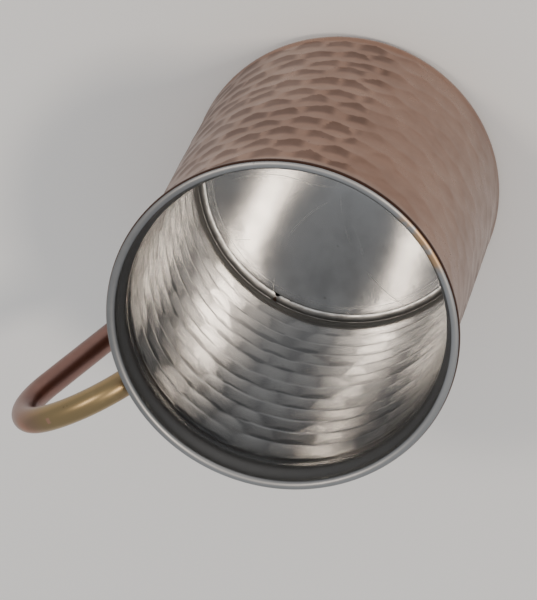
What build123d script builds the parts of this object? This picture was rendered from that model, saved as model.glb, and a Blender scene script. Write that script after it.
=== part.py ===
from build123d import *
import os
from math import acos, asin, atan, atan2, cos, degrees, hypot, radians, sin, sqrt

# Hammered copper mug with a tube handle. Millimetres, +Z up, handle on +X.
# The origin is the centre of the ring the mug stands on.

# Overall sizes
mug_height = 104.0
rim_radius = 43.0          # over the rolled copper bead
wall_top_radius = 40.1     # outside, just below the flare
wall_foot_radius = 42.76   # outside, where the foot corner starts
wall_bulge = 0.3           # how far the side stands out from a straight taper
foot_corner_radius = 5.0
foot_ring_radius = 36.0    # inner edge of the turned-in foot

# Sheet and lining
wall_sheet = 0.75
pan_sheet = 0.75
lining = 0.15

# Rolled bead
bead_radius = 1.15         # of the copper, without its lining
bead_turn = 260.0
lining_turn = 130.0        # how far the lining follows the bead round
flare_height = 5.1

# Run of solder in the corner between floor and wall
solder_reach = 2.0         # from its top on the wall inward over the floor
solder_top_angle = 61.0    # where it ends on the foot corner, from straight down
solder_face_radius = 2.4   # of its hollow face

# Handle
tube_radius = 3.35
tube_sheet = 1.0
handle_top_drop = 16.6     # root centre below the rim
handle_foot_height = 18.4  # root centre above the table
handle_rise_angle = 48.7   # how steeply the upper leg leaves the wall
upper_arc_radius = 26.0
upper_arc_turn = 69.3
bend_radius = 18.0
braze_width = 1.5          # of the collar where a leg meets the wall
run_in = 9.0               # length of tube made inside the wall before it is cut to fit


def point(centre, radius, angle):
    return (centre[0] + radius * cos(radians(angle)), centre[1] + radius * sin(radians(angle)))


def arc(centre, radius, start, end):
    return CenterArc(centre, radius, start, end - start)


# The wall's outer face runs up one wide arc, flares through two equal arcs and rolls into the bead.
bead_centre = (rim_radius - bead_radius, mug_height - lining - bead_radius)
bead_bore = bead_radius - wall_sheet
flare_base = bead_centre[1] - flare_height
chord = hypot(wall_foot_radius - wall_top_radius, flare_base - foot_corner_radius)
side_radius = (chord**2 / 4 + wall_bulge**2) / (2 * wall_bulge)
side_lean = degrees(atan2(wall_foot_radius - wall_top_radius, flare_base - foot_corner_radius))
chord_middle = ((wall_foot_radius + wall_top_radius) / 2, (flare_base + foot_corner_radius) / 2)
side_centre = point(chord_middle, wall_bulge - side_radius, side_lean)
side_top_angle = side_lean + degrees(asin(chord / 2 / side_radius))

corner_reach = side_radius - foot_corner_radius
corner_drop = foot_corner_radius - side_centre[1]
corner_centre = (side_centre[0] + sqrt(corner_reach**2 - corner_drop**2), foot_corner_radius)
side_foot_angle = degrees(asin(corner_drop / corner_reach))

flare_run = (bead_centre[0] - bead_bore - wall_top_radius) / flare_height
flare_heading = side_top_angle + 90
flare_sine = sin(radians(flare_heading)) + 1 + flare_run * cos(radians(flare_heading))
flare_middle = degrees(asin(flare_sine / (2 * sqrt(1 + flare_run**2))) - atan(flare_run))
flare_radius = flare_height / (2 * cos(radians(flare_middle)) - cos(radians(flare_heading)))
flare_out = point(side_centre, side_radius + flare_radius, side_top_angle)
flare_in = point(flare_out, 2 * flare_radius, flare_middle + 90)


def side_line(depth, corner_start, turn):
    """The wall's section line at a depth behind its outer face, from the foot corner over the bead."""
    return [
        arc(corner_centre, foot_corner_radius - depth, corner_start, side_foot_angle),
        arc(side_centre, side_radius - depth, side_foot_angle, side_top_angle),
        arc(flare_out, flare_radius + depth, side_top_angle + 180, flare_middle + 90),
        arc(flare_in, flare_radius - depth, flare_middle - 90, 0),
        arc(bead_centre, bead_bore + depth, 180, 180 - turn),
    ]


def corner_point(depth, angle):
    return point(corner_centre, foot_corner_radius - depth, angle)


def bead_point(depth, turn):
    return point(bead_centre, bead_bore + depth, 180 - turn)


def turned(edges):
    """A solid of revolution about +Z from section edges drawn as radius and height."""
    face = Plane.XZ * make_face(edges)
    return revolve(face, Axis.Z).solid()


def make_wall():
    foot = (foot_ring_radius, 0), (corner_centre[0], 0)
    foot_top = (foot_ring_radius, wall_sheet), (corner_centre[0], wall_sheet)
    return turned(
        [
            Line(*foot),
            *side_line(0, -90, bead_turn),
            Line(bead_point(0, bead_turn), bead_point(wall_sheet, bead_turn)),
            *side_line(wall_sheet, -90, bead_turn),
            Line(*foot_top),
            Line(foot[0], foot_top[0]),
        ]
    )


def make_wall_lining():
    start = solder_top_angle - 90
    back, front = wall_sheet, wall_sheet + lining
    return turned(
        [
            Line(corner_point(back, start), corner_point(front, start)),
            *side_line(back, start, lining_turn),
            *side_line(front, start, lining_turn),
            Line(bead_point(back, lining_turn), bead_point(front, lining_turn)),
        ]
    )


def corner_angle(height):
    """Where the wall's inner face reaches a height on the foot corner, as an arc angle."""
    return degrees(asin((height - corner_centre[1]) / (foot_corner_radius - wall_sheet)))


def floor_layer(under, over):
    """A flat disc between two heights, its edge cut to the curve of the foot corner."""
    start, end = corner_angle(under), corner_angle(over)
    return turned(
        [
            Line((0, under), corner_point(wall_sheet, start)),
            arc(corner_centre, foot_corner_radius - wall_sheet, start, end),
            Line(corner_point(wall_sheet, end), (0, over)),
            Line((0, over), (0, under)),
        ]
    )


def make_base_solder():
    """A hollow-faced run of solder from the floor lining up to the wall lining."""
    floor = wall_sheet + pan_sheet + lining
    low, high = corner_angle(floor), solder_top_angle - 90
    crown = corner_point(wall_sheet + lining, high)
    toe = (crown[0] - solder_reach, floor)
    return turned(
        [
            Line(toe, corner_point(wall_sheet, low)),
            arc(corner_centre, foot_corner_radius - wall_sheet, low, high),
            Line(corner_point(wall_sheet, high), crown),
            RadiusArc(crown, toe, solder_face_radius),
        ]
    )


def wall_spot(height):
    """The point of the wall's outer face at a height on its tapered side."""
    return (side_centre[0] + sqrt(side_radius**2 - (height - side_centre[1]) ** 2), height)


def envelope(margin):
    """The taper carried on past the rim as one solid, grown by a margin, for fitting things to it."""
    above = degrees(3 * flare_height / side_radius)
    side = arc(side_centre, side_radius + margin, side_foot_angle, side_top_angle + above)
    foot, head = (0, (side @ 0).Y), (0, (side @ 1).Y)
    return turned([side, Line(side @ 0, foot), Line(foot, head), Line(head, side @ 1)])


# The handle's upper leg arches over, turns through the bend and comes back straight to the wall.
upper_root = wall_spot(mug_height - handle_top_drop)
lower_root = wall_spot(handle_foot_height)
arch_centre = point(upper_root, upper_arc_radius, handle_rise_angle - 90)
arch_start = handle_rise_angle + 90
arch_end = arch_start - upper_arc_turn
bend_centre = point(arch_centre, upper_arc_radius - bend_radius, arch_end)
bend_reach = hypot(bend_centre[0] - lower_root[0], bend_centre[1] - lower_root[1])
root_bearing = degrees(atan2(lower_root[1] - bend_centre[1], lower_root[0] - bend_centre[0]))
bend_end = root_bearing + degrees(acos(bend_radius / bend_reach)) - 360 * (root_bearing > 0)
bend_end -= 360 * (bend_end > arch_end)
leg_length = sqrt(bend_reach**2 - bend_radius**2)


def handle_line():
    """The handle's centre line, carried on inside the wall at both ends."""
    leave = point(bend_centre, bend_radius, bend_end)
    return Plane.XZ * Wire(
        [
            Line(point(upper_root, -run_in, handle_rise_angle), upper_root),
            arc(arch_centre, upper_arc_radius, arch_start, arch_end),
            arc(bend_centre, bend_radius, arch_end, bend_end),
            Line(leave, point(leave, leg_length + run_in, bend_end - 90)),
        ]
    )


def rod(line, radius):
    return sweep(Plane(origin=line @ 0, z_dir=line % 0) * Circle(radius), line).solid()


def make_handle():
    line = handle_line()
    return (rod(line, tube_radius) - rod(line, tube_radius - tube_sheet) - envelope(0)).solid()


def make_braze(root, angle):
    """A collar of braze round a leg of the handle where it meets the wall."""
    place = Plane(origin=(root[0], 0, root[1]), z_dir=(cos(radians(angle)), 0, sin(radians(angle))))
    stub = place * Cylinder(tube_radius + braze_width, 4 * run_in)
    return ((stub & envelope(braze_width)) - rod(handle_line(), tube_radius) - envelope(0)).solid()


if __name__ == "__main__":
    os.makedirs("parts", exist_ok=True)
    pan_top = wall_sheet + pan_sheet
    export_step(make_wall(), "parts/wall.step")
    export_step(make_wall_lining(), "parts/wall_lining.step")
    export_step(floor_layer(wall_sheet, pan_top), "parts/base_pan.step")
    export_step(floor_layer(pan_top, pan_top + lining), "parts/base_lining.step")
    export_step(make_base_solder(), "parts/base_solder.step")
    export_step(make_handle(), "parts/handle.step")
    export_step(make_braze(upper_root, handle_rise_angle), "parts/upper_handle_braze.step")
    export_step(make_braze(lower_root, bend_end + 90), "parts/lower_handle_braze.step")
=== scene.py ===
from math import asin, atan2, cos, degrees, hypot, pi, radians, sin, sqrt

import bpy
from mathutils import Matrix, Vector


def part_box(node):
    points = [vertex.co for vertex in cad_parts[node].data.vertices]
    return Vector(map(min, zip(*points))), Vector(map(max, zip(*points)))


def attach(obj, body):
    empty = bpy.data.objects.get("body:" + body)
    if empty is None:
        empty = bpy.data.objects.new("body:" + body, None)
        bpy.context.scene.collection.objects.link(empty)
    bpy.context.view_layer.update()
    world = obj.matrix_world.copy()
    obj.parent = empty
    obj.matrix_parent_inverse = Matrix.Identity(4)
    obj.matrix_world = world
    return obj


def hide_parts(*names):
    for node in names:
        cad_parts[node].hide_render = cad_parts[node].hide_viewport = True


bl_info = {
    "name": "Hammered Copper Mug",
    "version": (1, 0, 0),
    "blender": (4, 5, 0),
    "location": "3D View > Sidebar > Mug",
    "description": "Builds a hammered copper mug with a pale lining, a rolled rim and a brazed tube handle",
    "category": "Add Mesh",
}

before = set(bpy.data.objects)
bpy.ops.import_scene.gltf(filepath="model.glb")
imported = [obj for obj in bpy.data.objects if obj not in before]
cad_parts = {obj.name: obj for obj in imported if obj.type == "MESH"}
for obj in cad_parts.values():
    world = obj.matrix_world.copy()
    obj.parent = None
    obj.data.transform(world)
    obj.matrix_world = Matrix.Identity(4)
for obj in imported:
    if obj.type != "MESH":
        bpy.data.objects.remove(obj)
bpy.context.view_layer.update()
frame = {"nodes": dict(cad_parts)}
table_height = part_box("wall")[0].z
rim_reach = 0.043
lining_top = 0.104
SOLDER_TOP = -29.0  # where solder and wall lining meet on the foot corner, in degrees

# A hammer mark: how far it strays from its place, and the reach of its dish, in pitches and courses.
STRAY_ALONG, STRAY_UP = 0.34, 0.26
DISH_ALONG, DISH_UP = 0.74, 0.78

FLOOR_RING = 0.0375  # radius of the faint ring turned in the floor
BRAZE_GRAIN = 0.00022  # size of a face on the braze
BRAZE_LUMP = 0.0011  # how far its lumps swell

# Stretches round the mug, in turns from the handle.
SOFT_TURNS = (0.42, 0.60)  # weaker hammer marks
EVENLY_LIT_TURNS = (0.40, 0.617)  # painted light: the evenly lit side, with weaker painted crescent shade and slightly darker copper
WORN_TURNS = (0.497, 0.552)  # lining worn through on the bead
SHADED_TURNS = (0.24, 0.56)  # painted shade: lining greyer here, counted from the side away from the handle

# Colours that only small parts of a finish take.
# Pale copper for painted highlights beside the mark edges and for painted light on the foot corner.
PAINTED_LIGHT_COPPER = (0.5, 0.38, 0.31, 1)
# Near black for the painted shade under the bead and for real dark flecks.
SHADE_AND_FLECK_COPPER = (0.035, 0.014, 0.01, 1)
CORNER_LIGHT_LINING = (0.75, 0.74, 0.72, 1)
HIGHLIGHT_LINING = (0.78, 0.76, 0.73, 1)
WORN_LINING = (0.55, 0.33, 0.16, 1)
LINING_FLECK = (0.07, 0.06, 0.055, 1)
FLOOR_SCRATCH = (0.66, 0.65, 0.63, 1)
FLOOR_FLECK = (0.09, 0.08, 0.07, 1)
SOLDER_GREY = (0.34, 0.335, 0.33, 1)
SOLDER_DARK = (0.2, 0.19, 0.18, 1)
SOLDER_HIGHLIGHT = (0.88, 0.87, 0.85, 1)
HANDLE_FILM = (0.17, 0.1, 0.08, 1)
HANDLE_GLINT = (0.5, 0.37, 0.2, 1)
HANDLE_BEND = (0.4, 0.16, 0.09, 1)
HANDLE_DAB = (0.5, 0.27, 0.19, 1)
HANDLE_FLECK = (0.05, 0.025, 0.015, 1)
BRAZE_BRIGHT = (0.36, 0.24, 0.12, 1)
BRAZE_DARK = (0.1, 0.055, 0.035, 1)


# ---------------------------------------------------------------- sizes and colours


class MugBodySizes(bpy.types.PropertyGroup):
    height: bpy.props.FloatProperty(
        name="Height", description="From the table to the top of the rolled bead",
        default=lining_top, unit="LENGTH")
    rim_radius: bpy.props.FloatProperty(
        name="Rim Radius", description="Over the outside of the bead", default=rim_reach, unit="LENGTH")
    top_radius: bpy.props.FloatProperty(
        name="Top Radius", description="Outside of the wall just below the flare",
        default=0.0401, unit="LENGTH")
    foot_radius: bpy.props.FloatProperty(
        name="Foot Radius", description="Outside of the wall at the top of the foot corner",
        default=0.04276, unit="LENGTH")
    bulge: bpy.props.FloatProperty(
        name="Bulge", description="How far the side stands out from a straight taper",
        default=0.0003, unit="LENGTH")
    corner: bpy.props.FloatProperty(
        name="Foot Corner", description="Radius of the turned foot", default=0.005, unit="LENGTH")
    ring: bpy.props.FloatProperty(
        name="Foot Ring", description="Inner radius of the ring the mug stands on",
        default=0.036, unit="LENGTH")
    sheet: bpy.props.FloatProperty(
        name="Sheet", description="Thickness of the copper", default=0.00075, unit="LENGTH")
    lining: bpy.props.FloatProperty(
        name="Lining", description="Thickness drawn for the pale lining", default=0.00015, unit="LENGTH")
    bead: bpy.props.FloatProperty(
        name="Bead", description="Radius of the rolled copper bead", default=0.00115, unit="LENGTH")
    flare: bpy.props.FloatProperty(
        name="Flare", description="Height of the flare under the bead", default=0.0051, unit="LENGTH")
    floor: bpy.props.FloatProperty(
        name="Floor", description="Top of the lined floor above the table", default=0.00165, unit="LENGTH")


class SolderSizes(bpy.types.PropertyGroup):
    reach: bpy.props.FloatProperty(
        name="Reach", description="From its top on the wall inward over the floor",
        default=0.002, unit="LENGTH")
    hollow: bpy.props.FloatProperty(
        name="Hollow", description="Radius of its hollow face", default=0.0024, unit="LENGTH")
    unevenness: bpy.props.FloatProperty(
        name="Unevenness", description="How far its face wanders", default=0.00016, unit="LENGTH")
    nick_angle: bpy.props.FloatProperty(
        name="Nick Angle", description="Where the nick lies, round from the handle", default=radians(33),
        subtype="ANGLE")
    nick_width: bpy.props.FloatProperty(
        name="Nick Width", description="Half the width of the nick", default=0.0009, unit="LENGTH")
    nick_depth: bpy.props.FloatProperty(
        name="Nick Depth", description="How deep the nick is cut", default=0.0003, unit="LENGTH")


class HammerSizes(bpy.types.PropertyGroup):
    marks: bpy.props.IntProperty(
        name="Marks Round", description="Hammer marks in one course", default=28)
    course: bpy.props.FloatProperty(
        name="Course", description="Height of one course of marks", default=0.0073, unit="LENGTH")
    depth: bpy.props.FloatProperty(
        name="Depth", description="Depth of a mark of middling strength", default=0.00024, unit="LENGTH")
    inside_depth: bpy.props.FloatProperty(
        name="Inside Depth", description="Depth of a middling mark as it shows through the lining",
        default=0.00014, unit="LENGTH")
    lean: bpy.props.FloatProperty(
        name="Lean", description="How much deeper a mark is at its lower edge", default=0.075, min=0, max=0.2)
    soft_side: bpy.props.FloatProperty(
        name="Soft Side", description="How much weaker the marks are on the side away from the handle",
        default=0.4, min=0, max=1)
    first: bpy.props.FloatProperty(
        name="First Course", description="Height where the marks start", default=0.006, unit="LENGTH")
    last: bpy.props.FloatProperty(
        name="Last Course", description="Height where the marks end", default=0.0955, unit="LENGTH")
    steps: bpy.props.IntProperty(
        name="Steps Round", description="Faces round the wall", default=440)
    rows: bpy.props.IntProperty(
        name="Rows", description="Faces up the hammered part of the wall", default=150)


class MetalColours(bpy.types.PropertyGroup):
    copper: bpy.props.FloatVectorProperty(
        name="Copper", description="Clean copper on the outside", default=(0.31, 0.176, 0.122),
        subtype="COLOR", size=3)
    # Brown film on the copper, also used for the painted shade in the crescents of the hammer marks.
    tarnish_and_shade: bpy.props.FloatVectorProperty(
        name="Tarnish", description="Brown film in the marks and hollows", default=(0.085, 0.042, 0.03),
        subtype="COLOR", size=3)
    lining: bpy.props.FloatVectorProperty(
        name="Lining", description="Pale lining", default=(0.54, 0.54, 0.545), subtype="COLOR", size=3)
    # Grey film on the lining, also used for the painted shade below each mark edge and on one side of the
    # wall.
    stain_and_shade: bpy.props.FloatVectorProperty(
        name="Stain", description="Grey film on the lining", default=(0.17, 0.165, 0.16),
        subtype="COLOR", size=3)
    # Brass and red brown split the handle partly by wear and partly as painted light on the upper leg.
    brass: bpy.props.FloatVectorProperty(
        name="Brass", description="Rubbed upper leg of the handle", default=(0.34, 0.245, 0.125),
        subtype="COLOR", size=3)
    red_brown: bpy.props.FloatVectorProperty(
        name="Red Brown", description="Unrubbed lower leg of the handle", default=(0.25, 0.145, 0.125),
        subtype="COLOR", size=3)
    floor: bpy.props.FloatVectorProperty(
        name="Floor", description="Studio floor", default=(0.93, 0.93, 0.93), subtype="COLOR", size=3)


# ---------------------------------------------------------------- socket maths


class Socket:
    """A node socket that adds, subtracts, multiplies and divides by placing Math nodes."""

    def __init__(self, tree, link):
        self.tree = tree
        self.link = link

    def math(self, operation, *others):
        node = self.tree.place("ShaderNodeMath", {"operation": operation}, {})
        for slot, value in enumerate((self, *others)):
            self.tree.feed(node.inputs[slot], value)
        return Socket(self.tree, node.outputs[0])

    def __add__(self, other):
        return self.math("ADD", other)

    def __sub__(self, other):
        return self.math("SUBTRACT", other)

    def __mul__(self, other):
        return self.math("MULTIPLY", other)

    def __truediv__(self, other):
        return self.math("DIVIDE", other)

    def __pow__(self, other):
        return self.math("POWER", other)

    def __neg__(self):
        return self.math("MULTIPLY", -1.0)

    def __radd__(self, other):
        return self.math("ADD", other)

    def __rmul__(self, other):
        return self.math("MULTIPLY", other)

    def __rsub__(self, other):
        return self.tree.number(other) - self

    def __rtruediv__(self, other):
        return self.tree.number(other) / self

    def ramp(self, low, high, start=0.0, end=1.0):
        """Smoothly from start to end as the value goes from low to high."""
        node = self.tree.place(
            "ShaderNodeMapRange", {"interpolation_type": "SMOOTHSTEP"},
            {"Value": self, "From Min": low, "From Max": high, "To Min": start, "To Max": end})
        return Socket(self.tree, node.outputs[0])


class Tree:
    """Places nodes in a shader or geometry tree."""

    def __init__(self, nodes, links):
        self.nodes = nodes
        self.links = links

    def feed(self, socket, value):
        if isinstance(value, Socket):
            self.links.new(value.link, socket)
        else:
            socket.default_value = value

    def place(self, kind, settings, values):
        node = self.nodes.new(kind)
        for key, value in settings.items():
            setattr(node, key, value)
        for key, value in values.items():
            self.feed(node.inputs[key], value)
        return node

    def get(self, kind, settings, values, output=0):
        return Socket(self, self.place(kind, settings, values).outputs[output])

    def number(self, value):
        node = self.place("ShaderNodeMath", {"operation": "ADD"}, {0: value, 1: 0.0})
        return Socket(self, node.outputs[0])

    def object_place(self):
        return self.get("ShaderNodeTexCoord", {}, {}, 3)

    def kept_value(self, name):
        """A value that the hammering left on the mesh."""
        return self.get("ShaderNodeAttribute", {"attribute_name": name}, {}, 2)

    def vector(self, x, y, z=0.0):
        return self.get("ShaderNodeCombineXYZ", {}, {0: x, 1: y, 2: z})

    def split(self, vector):
        node = self.place("ShaderNodeSeparateXYZ", {}, {0: vector})
        return [Socket(self, output) for output in node.outputs]

    def mix(self, factor, first, second):
        node = self.place("ShaderNodeMix", {"data_type": "RGBA"}, {0: factor, 6: first, 7: second})
        return Socket(self, node.outputs[2])

    def noise(self, vector, scale, detail=3.0, roughness=0.5):
        return self.get(
            "ShaderNodeTexNoise", {},
            {"Vector": vector, "Scale": scale, "Detail": detail, "Roughness": roughness})


# ---------------------------------------------------------------- bench work


def drop_selection():
    if bpy.context.object and bpy.context.object.mode != "OBJECT":
        bpy.ops.object.mode_set(mode="OBJECT")
    bpy.ops.object.select_all(action="DESELECT")


def draw_section(name, points):
    """An open line of vertices on +X round a section, drawn by extruding one vertex from point to point;
    turn_section joins its ends.
    """
    drop_selection()
    first = Vector((points[0][0], 0, points[0][1]))
    bpy.ops.mesh.primitive_plane_add(size=0.001, location=(0, 0, 0))
    piece = bpy.context.object
    piece.name = piece.data.name = name
    bpy.ops.object.mode_set(mode="EDIT")
    bpy.ops.mesh.select_all(action="SELECT")
    bpy.ops.mesh.merge(type="CENTER")
    bpy.ops.transform.translate(value=first)
    here = first
    for radius, height in points[1:]:
        there = Vector((radius, 0, height))
        bpy.ops.mesh.extrude_region_move(TRANSFORM_OT_translate={"value": there - here})
        here = there
    return piece


def ends_join(piece):
    """Joins the first and the last vertex of a drawn section with an edge."""
    bpy.ops.mesh.select_all(action="DESELECT")
    bpy.ops.object.mode_set(mode="OBJECT")
    last = len(piece.data.vertices) - 1
    piece.data.vertices[0].select = True
    piece.data.vertices[last].select = True
    bpy.ops.object.mode_set(mode="EDIT")
    bpy.ops.mesh.edge_face_add()


def turn_section(piece, steps):
    """Turns the section round +Z into a shell with outward faces."""
    ends_join(piece)
    bpy.ops.mesh.select_all(action="SELECT")
    bpy.ops.mesh.spin(steps=steps, angle=2 * pi, center=(0, 0, 0), axis=(0, 0, 1), dupli=False)
    bpy.ops.mesh.select_all(action="SELECT")
    bpy.ops.mesh.remove_doubles(threshold=1e-6)
    bpy.ops.mesh.normals_make_consistent(inside=False)
    bpy.ops.object.mode_set(mode="OBJECT")
    bpy.ops.object.shade_smooth()


def arc_points(centre, radius, start, end, count):
    angles = [radians(start + (end - start) * i / count) for i in range(count + 1)]
    return [(centre[0] + radius * cos(a), centre[1] + radius * sin(a)) for a in angles]


def hollow_points(start, end, radius, count):
    """Points on a hollow arc from start to end, its centre above the chord."""
    run, rise = end[0] - start[0], end[1] - start[1]
    chord = hypot(run, rise)
    back = sqrt(radius**2 - chord**2 / 4) / chord
    centre = ((start[0] + end[0]) / 2 - rise * back, (start[1] + end[1]) / 2 + run * back)
    first = degrees(atan2(start[1] - centre[1], start[0] - centre[0]))
    last = degrees(atan2(end[1] - centre[1], end[0] - centre[0]))
    return arc_points(centre, radius, first, last, count)


class Section:
    """The wall's section at any depth behind its outer face."""

    def __init__(self, body):
        self.body = body
        self.corner_centre = (body.foot_radius - body.corner, body.corner)
        self.bead_centre = (body.rim_radius - body.bead, body.height - body.lining - body.bead)
        self.bead_bore = body.bead - body.sheet
        self.flare_base = self.bead_centre[1] - body.flare
        self.under_bead = self.bead_centre[1] - body.bead

    def side_radius(self, height):
        body = self.body
        part = (height - body.corner) / (self.flare_base - body.corner)
        return (body.foot_radius + (body.top_radius - body.foot_radius) * part
                + 4 * body.bulge * part * (1 - part))

    def corner(self, depth, start, end, count):
        return arc_points(self.corner_centre, self.body.corner - depth, start, end, count)

    def side(self, depth, count):
        base, top = self.body.corner, self.flare_base
        heights = [base + (top - base) * i / count for i in range(1, count)]
        return [(self.side_radius(z) - depth, z) for z in heights]

    def flare(self, depth, count):
        start = self.side_radius(self.flare_base)
        end = self.bead_centre[0] - self.bead_bore
        points = []
        for i in range(count):
            part = i / count
            ease = part * part * (3 - 2 * part)
            lean = (end - start) * 6 * part * (1 - part) / self.body.flare
            shift = depth * sqrt(1 + lean * lean)
            points.append((start + (end - start) * ease - shift, self.flare_base + part * self.body.flare))
        return points

    def corner_angle(self, height, depth):
        """Where the face at a depth reaches a height on the foot corner, in degrees."""
        return degrees(asin((height - self.corner_centre[1]) / (self.body.corner - depth)))

    def bead(self, depth, turn, count):
        return arc_points(self.bead_centre, self.bead_bore + depth, 180, 180 - turn, count)


def angle_round(x, y):
    """The angle round the mug from the handle, in turns from 0 to 1."""
    return (y.math("ARCTAN2", x) / (2 * pi)).math("FLOORED_MODULO", 1.0)


def band(value, low, high, blur):
    """1 between low and high, falling to 0 within blur on each side."""
    return value.ramp(low - blur, low + blur) * value.ramp(high - blur, high + blur, 1.0, 0.0)


# ---------------------------------------------------------------- hammering


def hammer(piece, section, marks, face_depth, depth, name):
    """Sinks staggered marks into the face at face_depth and keeps where each spot lies in its mark."""
    body = section.body
    group, tree, shell = start_shaping(name)
    place = tree.get("GeometryNodeInputPosition", {}, {})
    x, y, z = tree.split(place)
    radius = (x * x + y * y).math("SQRT")

    part = (z - body.corner) / (section.flare_base - body.corner)
    side = (body.foot_radius + part * (body.top_radius - body.foot_radius)
            + part * (1 - part) * (4 * body.bulge))
    on_face = ((radius - (side - face_depth)).math("ABSOLUTE")).math("LESS_THAN", body.lining * 0.45)
    above_first = z.ramp(marks.first - 0.002, marks.first + 0.002)
    below_last = z.ramp(marks.last - 0.003, marks.last + 0.001, 1.0, 0.0)
    softer = band(angle_round(x, y), *SOFT_TURNS, 0.03) * marks.soft_side
    fade = above_first * below_last * (1 - softer)

    wander = tree.noise(tree.vector(x * 22.0, y * 22.0, z * 10.0), 1.0, 1.0) - 0.5
    across = y.math("ARCTAN2", x) * (marks.marks / (2 * pi)) + marks.marks
    up = (z - marks.first) / marks.course + wander * 0.55
    course = up.math("FLOOR")
    pitch = 2 * pi * body.foot_radius / marks.marks
    deepest = tree.number(-1.0)
    tilt = tree.number(0.0)
    centred = tree.number(0.0)
    for row in (-1, 0, 1):
        this_course = course + float(row)
        start = tree.get("ShaderNodeTexWhiteNoise", {"noise_dimensions": "1D"}, {"W": this_course + 0.5})
        slid = across + start * 0.25 + this_course * 0.5 + 50.0
        this_stroke = slid.math("FLOOR")
        for step in (-1, 0, 1):
            stroke = this_stroke + float(step)
            seed = tree.vector(stroke.math("FLOORED_MODULO", float(marks.marks)), this_course, 3.0)
            chance = tree.get("ShaderNodeTexWhiteNoise", {"noise_dimensions": "3D"}, {"Vector": seed}, 1)
            a, b, c = tree.split(chance)
            along = (slid - stroke - 0.5 - (a - 0.5) * STRAY_ALONG) * pitch
            above = (up - this_course - 0.5 - (b - 0.5) * STRAY_UP) * marks.course
            dish = 1 - (along / (pitch * DISH_ALONG)) ** 2.0 - (above / (marks.course * DISH_UP)) ** 2.0
            sunk = dish * depth * (c * 0.7 + 0.65) - above * marks.lean
            middle = (1 - (along / (pitch * 0.52)) ** 2.0).math("MAXIMUM", 0.0)
            bowed = (1 - middle) * 0.5 - above / (marks.course * 0.5)
            this_tilt = bowed * (c * 0.4 + 0.75)
            wins = sunk.math("GREATER_THAN", deepest)
            tilt = tilt + (this_tilt - tilt) * wins
            centred = centred + (middle - centred) * wins
            deepest = deepest.math("MAXIMUM", sunk)
    sunk = deepest.math("MAXIMUM", 0.0) * fade * on_face
    inward = tree.vector(-x / radius, -y / radius, 0.0)
    tilt = tree.get(
        "GeometryNodeBlurAttribute", {"data_type": "FLOAT"},
        {"Value": tilt * fade * on_face, "Iterations": 1, "Weight": 1.0})
    kept = shell
    for key, value in (("tilt", tilt), ("centred", centred)):
        kept = tree.get(
            "GeometryNodeStoreNamedAttribute", {"data_type": "FLOAT", "domain": "POINT"},
            {"Geometry": kept, "Name": key, "Value": value})
    finish_shaping(piece, group, tree, kept, inward, sunk)


def start_shaping(name):
    """A new group of geometry nodes, its tree and the shape that comes in."""
    group = bpy.data.node_groups.new(name, "GeometryNodeTree")
    for way in ("INPUT", "OUTPUT"):
        group.interface.new_socket("Geometry", in_out=way, socket_type="NodeSocketGeometry")
    tree = Tree(group.nodes, group.links)
    return group, tree, tree.get("NodeGroupInput", {}, {})


def finish_shaping(piece, group, tree, shape, direction, distance):
    """Moves every vertex of the shape along its direction and applies the group to the piece."""
    shift = tree.get("ShaderNodeVectorMath", {"operation": "SCALE"}, {0: direction, "Scale": distance})
    moved = tree.get("GeometryNodeSetPosition", {}, {"Geometry": shape, "Offset": shift})
    tree.place("NodeGroupOutput", {}, {0: moved})
    drop_selection()
    piece.select_set(True)
    bpy.context.view_layer.objects.active = piece
    modifier = piece.modifiers.new(group.name, "NODES")
    modifier.node_group = group
    bpy.ops.object.modifier_apply(modifier=modifier.name)


def roughen(piece, solder, name):
    """Makes the face of the solder wander in and out, and cuts its nick."""
    group, tree, shell = start_shaping(name)
    place = tree.get("GeometryNodeInputPosition", {}, {})
    normal = tree.get("GeometryNodeInputNormal", {}, {})
    x, y, z = tree.split(place)
    facing_up = tree.split(normal)[2].ramp(0.1, 0.4)
    wander = (tree.noise(place, 260.0, 2.0) - 0.5) * 2 * solder.unevenness
    sideways = x * sin(solder.nick_angle) - y * cos(solder.nick_angle)
    ahead = x * cos(solder.nick_angle) + y * sin(solder.nick_angle)
    nick = (1 - sideways.math("ABSOLUTE") / solder.nick_width).math("MAXIMUM", 0.0)
    nick = nick * ahead.math("GREATER_THAN", 0.0) * -solder.nick_depth
    finish_shaping(piece, group, tree, shell, normal, (wander + nick) * facing_up)


def flow_braze(piece):
    """Rounds a plain collar into a lumpy run of metal."""
    bpy.ops.object.mode_set(mode="EDIT")
    bpy.ops.mesh.select_all(action="SELECT")
    bpy.ops.mesh.remove_doubles(threshold=1e-6)
    bpy.ops.object.mode_set(mode="OBJECT")
    remesh = piece.modifiers.new("Fine skin", "REMESH")
    remesh.mode = "VOXEL"
    remesh.voxel_size = BRAZE_GRAIN
    bpy.ops.object.modifier_apply(modifier=remesh.name)
    rounding = piece.modifiers.new("Rounding", "SMOOTH")
    rounding.factor = 0.5
    rounding.iterations = 12
    bpy.ops.object.modifier_apply(modifier=rounding.name)
    group, tree, shell = start_shaping("Braze lumps")
    place = tree.get("GeometryNodeInputPosition", {}, {})
    normal = tree.get("GeometryNodeInputNormal", {}, {})
    lumps = (tree.noise(place, 420.0, 2.0) - 0.42) * BRAZE_LUMP
    finish_shaping(piece, group, tree, shell, normal, lumps)
    bpy.ops.object.shade_smooth()


# ---------------------------------------------------------------- finishes


def new_finish(name):
    finish = bpy.data.materials.new(name)
    finish.use_nodes = True
    finish.node_tree.nodes.clear()
    return finish, Tree(finish.node_tree.nodes, finish.node_tree.links)


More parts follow.
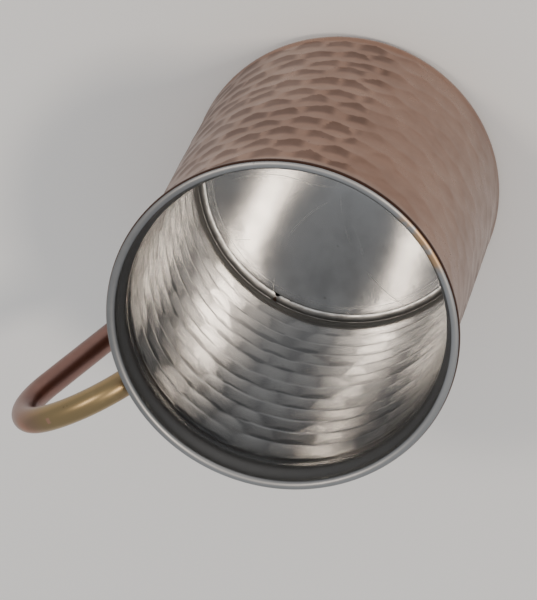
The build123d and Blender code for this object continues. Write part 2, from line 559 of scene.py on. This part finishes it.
def close_finish(tree, **values):
    named = {key.replace("_", " "): value for key, value in values.items()}
    shader = tree.place("ShaderNodeBsdfPrincipled", {}, named)
    tree.place("ShaderNodeOutputMaterial", {}, {0: Socket(tree, shader.outputs[0])})


def rgba(colour):
    return (*colour, 1.0)


def spots(tree, where, scale, rarity):
    """Small flecks, fewer as rarity nears 1."""
    return tree.noise(where, scale, 1.0).ramp(rarity, rarity + 0.05)


def copper_finish(colours, section):
    finish, tree = new_finish("Hammered copper")
    where = tree.object_place()
    x, y, z = tree.split(where)
    tilt = tree.kept_value("tilt")
    cloud = tree.noise(where, 30.0, 5.0, 0.6)
    smear = tree.noise(where, 150.0, 4.0, 0.6)
    turn = angle_round(x, y) + (cloud - 0.5) * 0.012
    # Painted light: where the light falls evenly, the painted crescent shade is weakened and the copper a
    # little darker.
    evenly_lit_side = band(turn, *EVENLY_LIT_TURNS, 0.004)
    contrast = 1 - evenly_lit_side * 0.75
    centred = tree.kept_value("centred")
    # Painted shade: a dark crescent along the sharp lower edge of each hammer mark.
    shade_crescent = tilt.ramp(1.1, 1.7) * centred.ramp(0.15, 0.8) * contrast
    # Painted highlight: a pale line on the upper part of each mark, beside the sharp edge.
    lip_highlight = (-tilt * centred).ramp(0.02, 0.3) * contrast
    film = (cloud * 0.75 + smear * 0.35).ramp(0.42, 0.7)
    # Painted shade: a thin near-black line under the bead.
    under_bead = z.ramp(section.under_bead - 0.0009, section.under_bead + 0.0002)
    # Painted light: the copper on the foot corner painted paler.
    foot = z.ramp(0.0008, 0.0035, 1.0, 0.0)
    flecks = spots(tree, where, 420.0, 0.78)
    # Mix toward the brown film colour: real film from the noise, painted shade from the crescents, and a
    # touch more on the evenly lit side.
    film_and_crescent_shade = (film * 0.2 + shade_crescent * 0.55 + evenly_lit_side * 0.1).math("MINIMUM", 1.0)
    colour = tree.mix(film_and_crescent_shade, rgba(colours.copper), rgba(colours.tarnish_and_shade))
    colour = tree.mix(lip_highlight * 0.3 + foot * 0.4, colour, PAINTED_LIGHT_COPPER)
    # Near black from the painted shade under the bead and from real dark flecks.
    bead_shade_and_flecks = (under_bead * 0.88 + flecks * 0.7).math("MINIMUM", 1.0)
    colour = tree.mix(bead_shade_and_flecks, colour, SHADE_AND_FLECK_COPPER)
    rough = film * 0.09 + shade_crescent * 0.08 + 0.24 + smear * 0.06
    close_finish(tree, Base_Color=colour, Metallic=1.0, Roughness=rough)
    return finish


def lining_finish(colours, section):
    finish, tree = new_finish("Pale lining")
    where = tree.object_place()
    x, y, z = tree.split(where)
    tilt = tree.kept_value("tilt")
    cloud = tree.noise(where, 38.0, 5.0, 0.6)
    smear = tree.noise(where, 170.0, 4.0, 0.6)
    centred = tree.kept_value("centred")
    # Painted highlight: a thin pale line along the sharp edge of each mark.
    painted_edge_highlight = tilt.ramp(1.15, 1.5) * (centred * 0.7 + 0.3)
    low = z.ramp(0.0045, 0.0095, 1.0, 0.0)
    shade = (-tilt).ramp(-0.4, 0.3)
    flare = z.ramp(section.flare_base - 0.001, section.flare_base + 0.002)
    bead = z.ramp(section.bead_centre[1] - 0.0006, section.bead_centre[1])
    film = (cloud * 0.7 + smear * 0.4).ramp(0.42, 0.72)
    turn = angle_round(x, y) + (smear - 0.5) * 0.03
    from_far_side = (turn + 0.5).math("FLOORED_MODULO", 1.0)
    # Painted shade: one side of the inner wall painted greyer.
    shaded_side = band(from_far_side, *SHADED_TURNS, 0.05)
    # Mix toward the grey film colour: real film from the noise, painted shade below each mark edge and on the
    # shaded side.
    grey = 0.5 + film * 0.2 + shade * 0.3 + shaded_side * 0.4
    # Painted light: less grey on the flare, so the lining there is painted paler.
    grey = (grey * (1 - flare * 0.4)).math("MINIMUM", 1.0)
    colour = tree.mix(grey, rgba(colours.lining), rgba(colours.stain_and_shade))
    # Painted light: the lining low on the wall, near the floor corner, painted paler.
    colour = tree.mix(low * 0.7, colour, CORNER_LIGHT_LINING)
    colour = tree.mix(painted_edge_highlight * 0.6, colour, HIGHLIGHT_LINING)
    worn = band(turn, *WORN_TURNS, 0.008) * bead * smear.ramp(0.4, 0.55)
    colour = tree.mix(worn * 0.8, colour, WORN_LINING)
    flecks = spots(tree, where, 520.0, 0.77)
    colour = tree.mix(flecks * 0.6, colour, LINING_FLECK)
    rough = cloud * 0.08 + smear * 0.06 + 0.15 + shade * 0.06 + low * 0.22 + flare * 0.25 - bead * 0.1
    close_finish(tree, Base_Color=colour, Metallic=1.0, Roughness=rough)
    return finish


# Each scratch on the floor is part of a circle: centre across, centre along, radius.
SCRATCHES = (
    (0.030, 0.012, 0.0260),
    (-0.012, -0.030, 0.0335),
    (0.021, -0.024, 0.0300),
    (-0.030, 0.020, 0.0372),
    (0.006, 0.034, 0.0310),
)


def floor_lining_finish(colours, ring_radius):
    """A turned, satin floor with a faint ring near its edge and a few curved scratches."""
    finish, tree = new_finish("Floor lining")
    where = tree.object_place()
    x, y, _ = tree.split(where)
    from_axis = (x * x + y * y).math("SQRT")
    cloud = tree.noise(where, 40.0, 5.0, 0.6)
    smear = tree.noise(where, 220.0, 4.0, 0.6)
    turned = tree.noise(tree.vector(from_axis * 2600.0, 0.0, 0.0), 1.0, 2.0)
    lines = band(from_axis, ring_radius - 0.0001, ring_radius + 0.0001, 0.00015) * 0.6
    for index, (centre_x, centre_y, radius) in enumerate(SCRATCHES):
        aside, along = x - centre_x, y - centre_y
        off_line = ((aside * aside + along * along).math("SQRT") - radius).math("ABSOLUTE")
        broken = tree.noise(tree.vector(x, y, float(index)), 60.0, 1.0).ramp(0.5, 0.58)
        lines = lines + off_line.ramp(0.00006, 0.0002, 1.0, 0.0) * broken * 0.7
    lines = lines.math("MINIMUM", 1.0)
    flecks = spots(tree, where, 480.0, 0.76)
    film = (cloud * 0.7 + smear * 0.4).ramp(0.42, 0.74)
    colour = tree.mix(film * 0.3 + turned * 0.12, rgba(colours.lining), rgba(colours.stain_and_shade))
    colour = tree.mix(lines * 0.5, colour, FLOOR_SCRATCH)
    colour = tree.mix(flecks * 0.5, colour, FLOOR_FLECK)
    rough = cloud * 0.08 + turned * 0.04 + smear * 0.05 + 0.13 + lines * 0.15
    close_finish(tree, Base_Color=colour, Metallic=1.0, Roughness=rough)
    return finish


def solder_finish(toe_radius):
    """A painted highlight along its thin edge on the floor, standing in for the reflection there, and grey
    above.
    """
    finish, tree = new_finish("Solder")
    where = tree.object_place()
    x, y, _ = tree.split(where)
    smear = tree.noise(where, 300.0, 3.0, 0.6)
    from_toe = (x * x + y * y).math("SQRT") - toe_radius + (smear - 0.5) * 0.0006
    # Painted highlight: near white along the toe of the solder.
    edge = from_toe.ramp(0.0004, 0.0009, 1.0, 0.0)
    colour = tree.mix(smear.ramp(0.5, 0.7) * 0.5, SOLDER_GREY, SOLDER_DARK)
    colour = tree.mix(edge, colour, SOLDER_HIGHLIGHT)
    close_finish(tree, Base_Color=colour, Metallic=1.0, Roughness=smear * 0.12 + 0.4 - edge * 0.16)
    return finish


def handle_finish(colours):
    """Brass on the upper leg, red-brown on the lower: partly wear, partly painted light on the upper leg."""
    finish, tree = new_finish("Rubbed handle")
    where = tree.object_place()
    x, y, z = tree.split(where)
    cloud = tree.noise(where, 55.0, 5.0, 0.65)
    streak = tree.noise(tree.vector(x * 0.35, y, z * 0.35), 420.0, 3.0, 0.6)
    # Partly wear, partly painted light: the upper leg brass, the lower leg red-brown.
    worn_and_lit = (z + (cloud - 0.5) * 0.02).ramp(0.082, 0.098) * x.ramp(0.066, 0.078, 1.0, 0.3)
    colour = tree.mix(worn_and_lit, rgba(colours.red_brown), rgba(colours.brass))
    colour = tree.mix(cloud.ramp(0.5, 0.68) * 0.35, colour, HANDLE_FILM)
    # Painted highlight: gold streaks along the upper leg.
    colour = tree.mix(streak.ramp(0.55, 0.75) * worn_and_lit * 0.4, colour, HANDLE_GLINT)
    bend = x.ramp(0.069, 0.078) * z.ramp(0.090, 0.094) * (x - z + y * 3.0).ramp(-0.026, -0.014)
    colour = tree.mix(bend * 0.6, colour, HANDLE_BEND)
    dab = band(x, 0.0672, 0.0682, 0.0002) * band(y, -0.0012, 0.0003, 0.0002) * z.ramp(0.094, 0.095)
    colour = tree.mix(dab * 0.8, colour, HANDLE_DAB)
    colour = tree.mix(spots(tree, where, 380.0, 0.75) * 0.6, colour, HANDLE_FLECK)
    close_finish(tree, Base_Color=colour, Metallic=1.0, Roughness=cloud * 0.12 + streak * 0.08 + 0.24)
    return finish


def braze_finish():
    finish, tree = new_finish("Dull braze")
    where = tree.object_place()
    cloud = tree.noise(where, 260.0, 4.0, 0.6)
    colour = tree.mix(cloud.ramp(0.4, 0.62), BRAZE_BRIGHT, BRAZE_DARK)
    close_finish(tree, Base_Color=colour, Metallic=1.0, Roughness=cloud * 0.25 + 0.3)
    return finish


def cover(piece, finish):
    piece.data.materials.clear()
    piece.data.materials.append(finish)


# ---------------------------------------------------------------- operators


class MUG_OT_wall(bpy.types.Operator):
    """Turns, rolls and hammers the copper wall"""

    bl_idname = "mug.wall"
    bl_label = "Copper Wall"

    def execute(self, context):
        scene = context.scene
        body, marks = scene.mug_body, scene.mug_hammer
        section = Section(body)
        ring, sheet = body.ring, body.sheet
        outer = (
            [(ring, 0.0)]
            + section.corner(0, -90, 0, 14)
            + section.side(0, marks.rows)
            + section.flare(0, 6)
            + section.bead(0, 260, 10)
        )
        inner = (
            [(ring, sheet)]
            + section.corner(sheet, -90, 0, 8)
            + section.side(sheet, 8)
            + section.flare(sheet, 6)
            + section.bead(sheet, 260, 20)
        )
        piece = draw_section("Copper_wall", outer + inner[::-1])
        turn_section(piece, marks.steps)
        hammer(piece, section, marks, 0.0, marks.depth, "Outside hammering")
        cover(piece, copper_finish(scene.mug_metal, section))
        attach(piece, "root")
        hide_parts("wall")
        return {"FINISHED"}


class MUG_OT_lining(bpy.types.Operator):
    """Lays the pale lining over the inside of the wall and round the bead"""

    bl_idname = "mug.lining"
    bl_label = "Wall Lining"

    def execute(self, context):
        scene = context.scene
        body, marks = scene.mug_body, scene.mug_hammer
        section = Section(body)
        back, front = body.sheet, body.sheet + body.lining
        seen = (
            section.corner(front, SOLDER_TOP, 0, 8)
            + section.side(front, marks.rows)
            + section.flare(front, 8)
            + section.bead(front, 130, 18)
        )
        hidden = (
            section.corner(back, SOLDER_TOP, 0, 4)
            + section.side(back, 8)
            + section.flare(back, 6)
            + section.bead(back, 130, 12)
        )
        piece = draw_section("Wall_lining", seen + hidden[::-1])
        turn_section(piece, marks.steps)
        hammer(piece, section, marks, front, marks.inside_depth, "Inside hammering")
        cover(piece, lining_finish(scene.mug_metal, section))
        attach(piece, "root")
        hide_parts("wall_lining")
        return {"FINISHED"}


class MUG_OT_solder(bpy.types.Operator):
    """Runs the uneven solder round the corner between floor and wall"""

    bl_idname = "mug.solder"
    bl_label = "Solder Run"

    def execute(self, context):
        scene = context.scene
        body, solder = scene.mug_body, scene.mug_solder
        section = Section(body)
        low = section.corner_angle(body.floor, body.sheet)
        crown = section.corner(body.sheet + body.lining, SOLDER_TOP, SOLDER_TOP, 1)[0]
        toe = (crown[0] - solder.reach, body.floor)
        under = section.corner(body.sheet, low, SOLDER_TOP, 6)
        piece = draw_section("Solder_run", hollow_points(toe, crown, solder.hollow, 8) + under[::-1])
        turn_section(piece, scene.mug_hammer.steps)
        roughen(piece, solder, "Solder unevenness")
        cover(piece, solder_finish(toe[0]))
        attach(piece, "root")
        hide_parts("base_solder")
        return {"FINISHED"}


class MUG_OT_braze(bpy.types.Operator):
    """Flows a lumpy run of braze round each leg of the handle"""

    bl_idname = "mug.braze"
    bl_label = "Handle Braze"

    def execute(self, context):
        finish = braze_finish()
        for name in ("upper_handle_braze", "lower_handle_braze"):
            drop_selection()
            source = frame["nodes"][name]
            bpy.ops.mesh.primitive_cube_add(size=0.01, location=(0, 0, 0))
            piece = bpy.context.object
            piece.data = source.data.copy()
            piece.name = piece.data.name = name.capitalize() + "_run"
            flow_braze(piece)
            cover(piece, finish)
            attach(piece, "root")
            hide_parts(name)
        return {"FINISHED"}


class MUG_OT_fittings(bpy.types.Operator):
    """Gives the floor pan, its lining and the handle their finishes"""

    bl_idname = "mug.fittings"
    bl_label = "Floor and Handle"

    def execute(self, context):
        scene = context.scene
        colours = scene.mug_metal
        nodes = frame["nodes"]
        cover(nodes["base_pan"], copper_finish(colours, Section(scene.mug_body)))
        cover(nodes["base_lining"], floor_lining_finish(colours, FLOOR_RING))
        cover(nodes["handle"], handle_finish(colours))
        return {"FINISHED"}


class MUG_OT_stage(bpy.types.Operator):
    """Sets the pale floor, the soft lights and the camera"""

    bl_idname = "mug.stage"
    bl_label = "Studio"

    def execute(self, context):
        drop_selection()
        bpy.ops.mesh.primitive_plane_add(size=6.0, location=(0, 0, table_height))
        floor = bpy.context.object
        floor.name = "Studio_floor"
        finish, tree = new_finish("Studio floor")
        paint = rgba(context.scene.mug_metal.floor)
        close_finish(tree, Base_Color=paint, Roughness=0.9, Specular_IOR_Level=0.1)
        cover(floor, finish)
        world = bpy.data.worlds.new("Studio air")
        world.use_nodes = True
        context.scene.world = world
        air = world.node_tree.nodes["Background"]
        air.inputs[0].default_value = (0.92, 0.96, 1.0, 1)
        air.inputs[1].default_value = 0.57
        for name, place, size, power in (
            ("Left lamp", (-0.50, 0.10, 1.09), (0.16, 0.16), 4.2),
            ("Near lamp", (0.197, -0.472, 1.086), (0.16, 0.16), 2.5),
            ("Far soft light", (-1.6, -1.3, 1.0), (1.2, 1.2), 2.0),
        ):
            drop_selection()
            bpy.ops.object.light_add(type="AREA", location=place)
            lamp = bpy.context.object
            lamp.name = name
            lamp.data.shape = "RECTANGLE"
            lamp.data.size, lamp.data.size_y = size
            lamp.data.energy = power
            lamp.data.color = (1.0, 0.87, 0.73)
            lamp.rotation_euler = (Vector((0, 0, 0.05)) - Vector(place)).to_track_quat("-Z", "Y").to_euler()
        bpy.ops.object.camera_add(
            location=(-0.19853, -0.16625, 0.64153),
            rotation=(radians(-23.102), radians(10.353), radians(151.549)))
        camera = bpy.context.object
        camera.data.lens = 150.0
        camera.data.sensor_width = 36.0
        context.scene.camera = camera
        return {"FINISHED"}


class MUG_PT_panel(bpy.types.Panel):
    """Lists the mug's pieces in the order they are made"""

    bl_label = "Hammered Mug"
    bl_idname = "MUG_PT_panel"
    bl_space_type = "VIEW_3D"
    bl_region_type = "UI"
    bl_category = "Mug"

    def draw(self, context):
        layout = self.layout
        for name, kind in GROUPS.items():
            for key in kind.__annotations__:
                layout.prop(getattr(context.scene, name), key)
        for step in STEPS:
            layout.operator(step.bl_idname)


GROUPS = {
    "mug_body": MugBodySizes,
    "mug_hammer": HammerSizes,
    "mug_solder": SolderSizes,
    "mug_metal": MetalColours,
}
STEPS = (MUG_OT_wall, MUG_OT_lining, MUG_OT_solder, MUG_OT_braze, MUG_OT_fittings, MUG_OT_stage)


def register():
    for group in (*GROUPS.values(), *STEPS, MUG_PT_panel):
        bpy.utils.register_class(group)
    for name, group in GROUPS.items():
        setattr(bpy.types.Scene, name, bpy.props.PointerProperty(type=group))


def unregister():
    for name in GROUPS:
        delattr(bpy.types.Scene, name)
    for group in reversed((*GROUPS.values(), *STEPS, MUG_PT_panel)):
        bpy.utils.unregister_class(group)


def main():
    register()
    bpy.ops.mug.wall()
    bpy.ops.mug.lining()
    bpy.ops.mug.solder()
    bpy.ops.mug.braze()
    bpy.ops.mug.fittings()
    bpy.ops.mug.stage()


if __name__ == "__main__":
    main()
